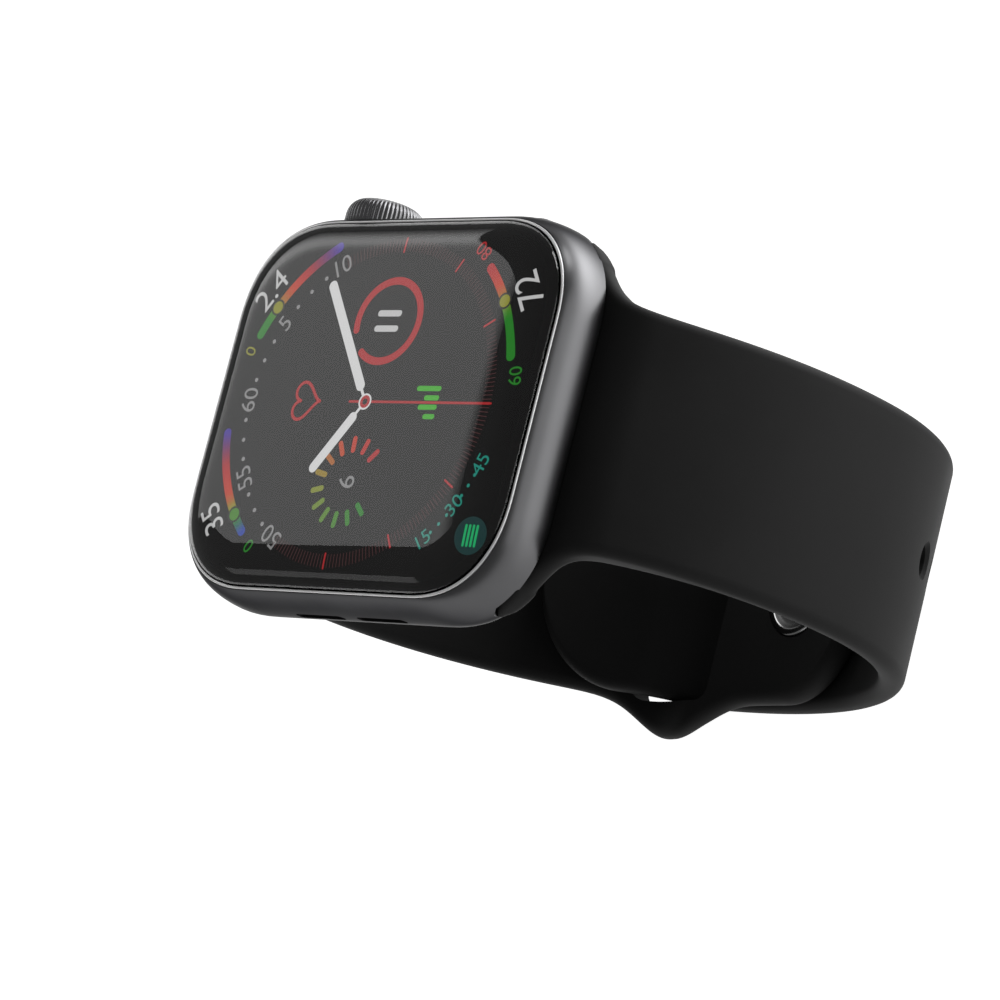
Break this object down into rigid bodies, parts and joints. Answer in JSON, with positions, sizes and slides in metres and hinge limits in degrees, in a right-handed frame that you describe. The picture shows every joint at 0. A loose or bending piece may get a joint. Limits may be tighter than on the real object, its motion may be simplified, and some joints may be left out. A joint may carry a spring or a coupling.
{
  "type": "smartwatch",
  "caption": "Smartwatch with a rounded rectangular case, domed glass, turning crown and side button, and a closed pin-and-tuck elastomer band.",
  "frame": {"origin": "middle of the flat centre of the sensor crystal on the back of the case, where a wrist or a charger meets the watch", "axes": "+Z out of the screen, +Y towards 12 o'clock, +X towards the crown"},
  "size_m": [0.0406, 0.0722, 0.062],
  "materials": {
    "anodised_grey": "satin",
    "black_glass": "polished",
    "display": "gloss",
    "ceramic": "polished",
    "steel": "brushed",
    "elastomer": "matte",
    "seal": "matte",
    "circuit": "matte",
    "cell": "matte",
    "copper": "satin"
  },
  "bodies": {
    "case": {"case_housing": "anodised_grey", "cover_glass": "black_glass", "display_panel": "display", "display_gasket": "seal", "antenna_frame": "cell", "rear_cover": "ceramic", "rear_gasket": "seal", "sensor_crystal": "black_glass", "electrode_ring": "steel", "sensor_board": "circuit", "charging_coil": "copper", "alignment_magnet": "steel", "crown_bushing": "steel", "crown_seal": "seal", "crown_switch": "steel", "crown_sensor": "circuit", "side_button_switch": "steel", "microphone": "steel", "battery": "cell", "main_module": "steel", "speaker_module": "cell", "speaker_mesh": "steel", "haptic_housing": "steel", "haptic_cover": "steel", "haptic_spring_left": "steel", "haptic_spring_right": "steel"},
    "crown_plunger": {"crown_thrust_plate": "steel"},
    "crown": {"crown_knob": "anodised_grey", "crown_cap": "steel", "crown_shaft": "steel"},
    "side_key": {"side_button": "anodised_grey"},
    "release_12": {"release_button_12": "anodised_grey"},
    "release_6": {"release_button_6": "anodised_grey"},
    "haptic": {"haptic_mass": "steel"},
    "band": {"strap_12": "elastomer", "strap_6": "elastomer", "closure_pin": "steel", "lug_latch_12": "steel", "lug_latch_6": "steel"}
  },
  "joints": [
    {"name": "crown_press", "type": "slide", "parent": "case", "child": "crown_plunger", "axis": [1, 0, 0], "range_m": [-0.0003, 0], "stiffness_N_per_m": 2500, "springref_m": 0.0003},
    {"name": "crown_turn", "type": "hinge", "parent": "crown_plunger", "child": "crown", "pos_m": [0.0195, 0.0091, 0.0049], "axis": [1, 0, 0], "continuous": true},
    {"name": "side_press", "type": "slide", "parent": "case", "child": "side_key", "axis": [1, 0, 0], "range_m": [-0.0003, 0], "stiffness_N_per_m": 2500, "springref_m": 0.0003},
    {"name": "release_12_press", "type": "slide", "parent": "case", "child": "release_12", "axis": [0, 0, 1], "range_m": [0, 0.0004], "stiffness_N_per_m": 1500, "springref_m": -0.0003},
    {"name": "release_6_press", "type": "slide", "parent": "case", "child": "release_6", "axis": [0, 0, 1], "range_m": [0, 0.0004], "stiffness_N_per_m": 1500, "springref_m": -0.0003},
    {"name": "haptic_travel", "type": "slide", "parent": "case", "child": "haptic", "axis": [1, 0, 0], "range_m": [-0.0006, 0.0006], "stiffness_N_per_m": 1300},
    {"name": "band_slide", "type": "slide", "parent": "case", "child": "band", "axis": [1, 0, 0], "range_m": [-0.04, 0.04]}
  ]
}
